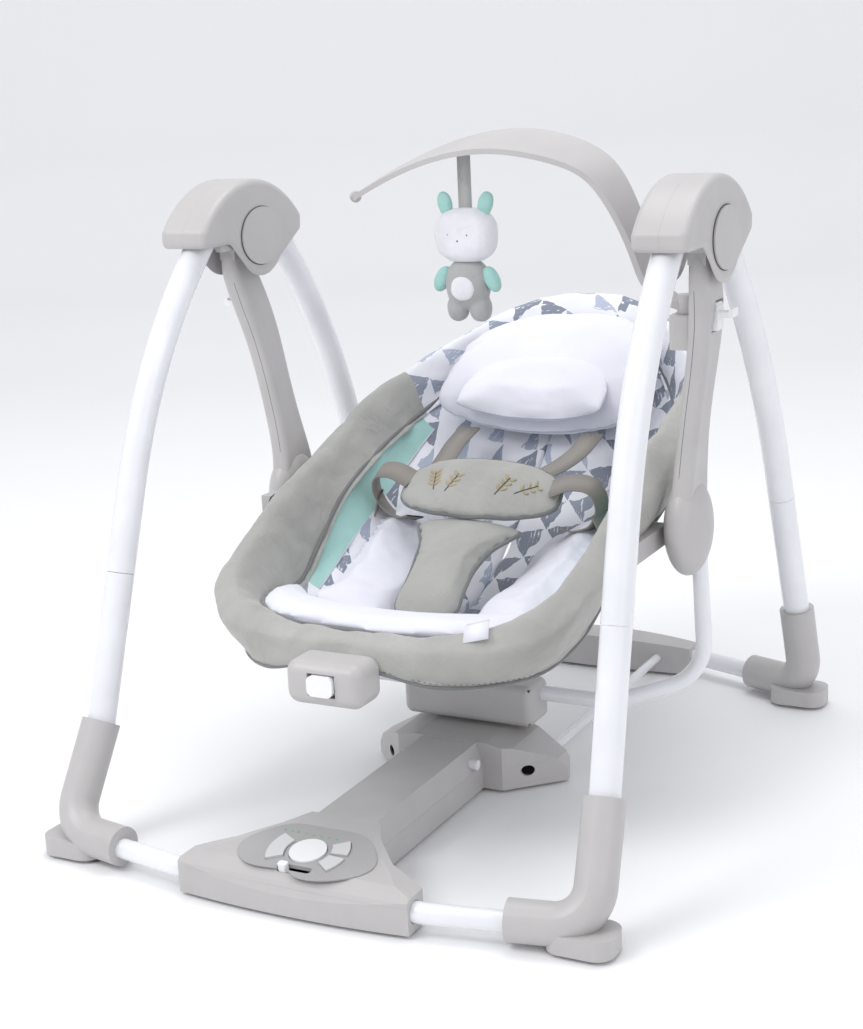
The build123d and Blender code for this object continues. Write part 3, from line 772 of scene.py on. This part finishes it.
def bolster(name, side, inner, keel, count):
    """The soft side pad between the coloured panel and the seat's middle."""
    first, last = BOLSTER_SPAN
    low, high = (TEAL_DEPTH + 0.4) / LINING_CUTS, 0.80
    tall, long = 12, 26
    rows = []
    for a in range(long + 1):
        k = (first + (last - first) * a / long) * STEPS
        whole = int(math.floor(k))
        f = k - whole
        i, j = side * whole % count, side * (whole + 1) % count
        edge = inner[i].lerp(inner[j], f)
        mid = keel[i].lerp(keel[j], f)
        q = 2 * a / long - 1
        end = (1 - abs(q) ** 3.2) ** 0.5 if abs(q) < 1 else 0.0
        up, down = [], []
        for b in range(tall + 1):
            r = 2 * b / tall - 1
            t = (low + high) / 2 + (high - low) / 2 * r * (0.55 + 0.45 * end)
            p = wall(edge, mid, t)
            ahead = wall(edge, mid, min(1, t + 0.02))
            across = (ahead - p).normalized()
            out = Vector((across.z * -side, 0, across.x * side))
            if out.z < 0:
                out = -out
            rise = (1 - abs(r) ** 2.6) ** 0.5 if abs(r) < 1 else 0.0
            up.append(p + out * (1.0 + BOLSTER_RISE * rise * end))
            down.append(p - out * 1.0 * rise)
        rows.append(up + down[::-1])
    mesh = grid(rows, close_columns=True)
    outwards(mesh, 0.3, fill=True)
    piece = link("bolster_" + name, mesh, ["fleece"])
    inflate(piece, 4.0, 7.0, 5.0)
    wrinkle(piece, 30, 2.0, 2.0, (1, 1, 0.5))


def foot_rest():
    """The white crescent pad along the seat's front edge."""
    front = [(-147, -118, 213), (-144, -150, 217), (-130, -183, 217), (-98, -202, 215),
             (-50, -210, 213), (0, -212, 212)]
    rear = [(-148, -84, 205), (-128, -104, 204), (-102, -128, 206), (-72, -140, 208),
            (-36, -146, 208), (0, -148, 208)]
    front = spline(front + [flipped(p) for p in reversed(front[:-1])], 5)
    rear = spline(rear + [flipped(p) for p in reversed(rear[:-1])], 5)
    rows = []
    cuts = 10
    for i, (f, r) in enumerate(zip(front, rear)):
        q = 2 * i / (len(front) - 1) - 1
        end = (1 - abs(q) ** 8) ** 0.5 if abs(q) < 1 else 0.0
        top, low = [], []
        for k in range(cuts + 1):
            t = k / cuts
            rise = (1 - abs(2 * t - 1) ** 2.6) ** 0.5
            p = f.lerp(r, t)
            top.append(p + Vector((0, 0, 1 + 7 * rise * end)))
            low.append(p - Vector((0, 0, 5 * rise * end)))
        rows.append(top + low[::-1])
    mesh = grid(rows, close_columns=True)
    outwards(mesh, 0.3, fill=True)
    piece = link("foot_rest", mesh, ["fleece"])
    inflate(piece, 4.0, 3.5, 3.0)
    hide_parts("foot_pad")
    cordlike("foot_rest_seam", [p + Vector((0, 0, 2)) for p in rear], 1.3, "seam")


def head_pillows():
    """The big head pillow and the half-round cushion on it."""
    back = plane((0, 190, 316), (1, 0, 0), (0, -0.60, 0.80))
    outline = [(-118, 6), (-126, 40), (-122, 88), (-102, 132), (-64, 164), (-20, 178), (20, 178),
               (64, 164), (102, 132), (122, 88), (126, 40), (118, 6), (84, -4), (30, -6),
               (-30, -6), (-84, -4)]
    pillow, edge = disc_cushion("head_pillow", outline, back, 28, "fleece",
                                bow=30, crown=3.0)
    inflate(pillow, 5.0, 10.0, 4.0)
    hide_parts("head_support")
    cordlike("pillow_seam", snug(pillow, edge), 1.0, "seam", closed=True)
    front = plane((0, 175, 337), (1, 0, 0), (0, -0.60, 0.80))
    outline = [(-86, 0), (-84, 28), (-70, 60), (-40, 86), (0, 96), (40, 86), (70, 60), (84, 28),
               (86, 0), (80, -6), (50, -7), (0, -7), (-50, -7), (-80, -6)]
    inner, edge = disc_cushion("head_cushion_soft", outline, front, 15, "fleece",
                               bow=20, crown=3.6)
    inflate(inner, 4.0, 5.0, 3.0)
    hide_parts("head_cushion")
    cordlike("cushion_seam", snug(inner, edge), 1.1, "seam", closed=True)


def belly_pad():
    """The grey waist pad with its piping and embroidered sprigs."""
    face = plane((0, 34, 288), (1, 0, 0), (0, -0.62, 0.78))
    outline = [(-91, 2), (-84, 22), (-62, 34), (-30, 39), (0, 40), (30, 39), (62, 34), (84, 22),
               (91, 2), (84, -18), (60, -31), (30, -37), (0, -39), (-30, -37), (-60, -31), (-84, -18)]
    pad, edge = disc_cushion("belly_pad", outline, face, 9, "velour",
                             bow=-12, crown=4.0, back=0.6)
    inflate(pad, 4.0, 5.0, 4.0)
    wrinkle(pad, 30, 1.0, 4.0)
    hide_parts("waist_pad")
    cordlike("belly_piping", snug(pad, edge), 2.8, "piping", closed=True)
    sprigs(face, pad)


def crotch_panel():
    """The grey panel from the seat's front up to the waist pad, wider at its top."""
    centre = spline([(0, -104, 184), (0, -92, 202), (0, -66, 223), (0, -38, 240), (0, -8, 250),
                     (0, 18, 256)], 6)
    half_widths = spline([(w, 0, 0) for w in (29, 37, 39, 42, 52, 64)], 6)
    cuts = 12
    left, right, rows = [], [], []
    for i, (c, w) in enumerate(zip(centre, half_widths)):
        ahead = (centre[min(i + 1, len(centre) - 1)] - centre[max(i - 1, 0)]).normalized()
        out = Vector((0, -ahead.z, ahead.y))
        q = i / (len(centre) - 1)
        end = min(1.0, (q / 0.08) ** 0.5, ((1 - q) / 0.05 + 0.02) ** 0.5)
        top, low = [], []
        for k in range(cuts + 1):
            r = 2 * k / cuts - 1
            rise = (1 - abs(r) ** 4) ** 0.5 if abs(r) < 1 else 0
            p = c + Vector((w.x * r, 0, 0)) - out * 7 * r * r
            top.append(p + out * 7 * rise * end)
            low.append(p - out * 3 * rise * end)
        left.append(top[0])
        right.append(top[-1])
        rows.append(top + low[::-1])
    mesh = grid(rows, close_columns=True)
    outwards(mesh, 0.3, fill=True)
    panel = link("crotch_panel", mesh, ["velour"])
    inflate(panel, 4.0, 4.0, 4.0)
    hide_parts("crotch_pad")
    edge = snug(panel, left[::-1] + right, closed=False)
    cordlike("crotch_piping", edge, 2.2, "piping")


def on_pad(face, pad, x, y):
    """A point on the waist pad's face, found along its normal."""
    above = (face @ Vector((x, y, 60))) * MM
    hit = pad.closest_point_on_mesh(above)
    down = -(face.to_3x3() @ Vector((0, 0, 1)))
    found, spot, _, _ = pad.ray_cast(above, down)
    return (spot if found else hit[1]) / MM - down * 0.2


def sprigs(face, pad):
    """Leaf sprigs embroidered on the waist pad: each one's foot, lean and pairs of leaves."""
    bm = bmesh.new()
    for x, y, lean, leaves in ((-44, -10, 0.2, 4), (-30, -12, -0.35, 3), (26, -12, -0.4, 3),
                               (46, -8, -0.9, 3)):
        tip = Vector((x + 26 * math.sin(-lean), y + 24 * math.cos(lean)))
        stem = [on_pad(face, pad, x + (tip.x - x) * k / 8, y + (tip.y - y) * k / 8)
                for k in range(9)]
        cordlike("sprig_stem_%d" % x, stem, 0.6, "dark_thread")
        for k in range(leaves):
            t = (k + 1) / (leaves + 0.5)
            base = Vector((x, y)).lerp(tip, t)
            for side in (1, -1):
                turn = lean + side * 0.9
                middle = base + Vector((-math.sin(turn), math.cos(turn))) * 4.6
                made = bmesh.ops.create_uvsphere(bm, u_segments=10, v_segments=6, radius=1.0)
                flat = Matrix.Diagonal((1.9, 4.4, 0.8, 1))
                spot = Matrix.Translation(on_pad(face, pad, middle.x, middle.y)) @ face.to_3x3().to_4x4()
                move = Matrix.Scale(MM, 4) @ spot @ Matrix.Rotation(turn, 4, "Z") @ flat
                bmesh.ops.transform(bm, matrix=move, verts=made["verts"])
    mesh = bpy.data.meshes.new("sprig_leaves")
    bm.to_mesh(mesh)
    bm.free()
    link("sprig_leaves", mesh, ["leaf"])


def harness():
    """Webbing: a loop at each end of the waist pad and two shoulder straps behind it."""
    for side, name in ((1, "right"), (-1, "left")):
        loop = [(side * 78, 40, 292), (side * 100, 42, 300), (side * 121, 46, 296), (side * 128, 52, 276),
                (side * 118, 56, 254), (side * 98, 54, 246), (side * 82, 50, 250)]
        ups = [(side * 0.2, -0.5, 1), (side * 0.3, -0.5, 1), (side * 0.8, -0.3, 0.6), (side, -0.2, 0),
               (side * 0.7, -0.2, -0.7), (side * 0.1, -0.3, -1), (0, -0.3, -1)]
        strap = ribbon("waist_loop_" + name, loop, ups, *WEBBING, "webbing", "webbing")
        if side > 0:
            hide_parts("waist_straps")
        anchor = [(side * 124, 52, 270), (side * 134, 58, 240), (side * 140, 64, 214)]
        ribbon("waist_anchor_" + name, anchor, [(side, -0.3, 0.3)] * 3, *WEBBING, "webbing", "webbing")
        shoulder = [(side * 58, 60, 300), (side * 66, 96, 304), (side * 72, 132, 312),
                    (side * 72, 168, 322)]
        ribbon("shoulder_strap_" + name, shoulder, [(0, -0.5, 1)] * 4, *WEBBING, "webbing", "webbing")


def tag():
    """A blank fabric tag on the rim's front."""
    rows = [[(103, -206, 227), (121, -197, 231)], [(107, -219, 229), (127, -211, 234)],
            [(112, -234, 220), (133, -226, 224)]]
    mesh = grid(rows)
    piece = link("blank_tag", mesh, ["fleece"])
    piece.modifiers.new("thick", "SOLIDIFY").thickness = 0.0009
    applied(piece)


# ---------------------------------------------------------------- lines on the plastic

def seams():
    """The parting line down the front of each arm, and the dark gap round each hub's disc."""
    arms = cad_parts["swing_arms"]
    axis_y, axis_z, disc = 4, 547.5, (37.3, 29.3)   # the hub's axis, and its disc's half sizes
    path = spline([(248, 0, 500), (245, 0, 470), (240, 0, 440), (235, 0, 410), (230, 0, 380),
                   (225, 0, 345), (222, 0, 318)], 6)
    for side, name in ((1, "right"), (-1, "left")):
        line = []
        for p in path:
            found, spot, _, _ = arms.ray_cast(Vector((side * p.x, -150, p.z)) * MM, Vector((0, 1, 0)))
            if found:
                line.append(spot / MM)
        cordlike("arm_seam_" + name, line, 0.22, "dark", body="swing")
        for face, x in (("outer", 274.4), ("inner", 219.6)):
            ring = [(side * x, axis_y + disc[0] * math.cos(a * math.pi / 36),
                     axis_z + disc[1] * math.sin(a * math.pi / 36)) for a in range(72)]
            cordlike("hub_gap_%s_%s" % (face, name), ring, 0.55, "dark",
                     closed=True, body="hubs")


# ---------------------------------------------------------------- the plush toy

def lump(bm, centre, radii, power, tilt=0.0):
    """A rounded lump: round at a power of 2 and squarer above it, tilted about Y."""
    made = bmesh.ops.create_uvsphere(bm, u_segments=28, v_segments=18, radius=1.0)
    for v in made["verts"]:
        length = sum(abs(c) ** power for c in v.co) ** (1 / power)
        v.co /= max(length, 1e-6)
    stretch = Matrix.Diagonal((*[r * MM for r in radii], 1))
    move = Matrix.Translation(Vector(centre) * MM) @ Matrix.Rotation(tilt, 4, "Y") @ stretch
    bmesh.ops.transform(bm, matrix=move, verts=made["verts"])


def lumps(name, parts, look):
    """One stuffed piece of the toy from some lumps grown together."""
    bm = bmesh.new()
    for part in parts:
        lump(bm, *part)
    mesh = bpy.data.meshes.new(name)
    bm.to_mesh(mesh)
    bm.free()
    piece = link(name, mesh, [look], "toy")
    voxels(piece, 1.6)
    piece.modifiers.new("smooth", "SMOOTH").iterations = 5
    applied(piece)
    wrinkle(piece, 14, 0.7, 1.0)
    return piece


def toy():
    """A small generic plush animal on a ribbon."""
    x, y = -3, 38
    head = lumps("plush_head", [((x, y, 545), (32, 21, 27), 2.6)], "plush_white")
    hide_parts("plush_toy")
    trunk = lumps("plush_body", [((x, y, 497), (23, 16, 25), 2.4),
                                 ((x - 12, y, 473), (11, 11, 14), 2.2),
                                 ((x + 13, y, 473), (11, 11, 14), 2.2)], "plush_grey")
    lumps("plush_belly", [((x, y - 13.5, 494), (13, 4, 13), 2.2)], "plush_white")
    lumps("plush_ears", [((x - 22, y, 575), (8, 5, 13), 2.2, -0.25),
                         ((x + 22, y, 575), (8, 5, 13), 2.2, 0.25)], "plush_teal")
    lumps("plush_arms", [((x - 27, y - 2, 502), (8, 7, 14), 2.2, 0.5),
                         ((x + 27, y - 2, 502), (8, 7, 14), 2.2, -0.5)], "plush_teal")
    # two eyes and a nose
    lumps("plush_eyes", [((x - 10, y - 20, 547), (1.7, 1.7, 1.9), 2),
                         ((x + 10, y - 20, 547), (1.7, 1.7, 1.9), 2),
                         ((x, y - 20.5, 541), (2.6, 1.7, 1.7), 2)], "dark_thread")
    band = [(x, y, 566), (x, y, 585), (x, y, 604), (x, y, 622)]
    strap = ribbon("toy_strap", band, [(0, -1, 0)] * 4, 14, 1.4, "plush_grey", "ribbon", "toy")
    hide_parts("toy_ribbon")


# ---------------------------------------------------------------- the whole

dress_cad()
cover()
foot_rest()
head_pillows()
belly_pad()
crotch_panel()
harness()
tag()
seams()
toy()
for piece, body in PIECES:
    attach(piece, body)
camera()
studio()
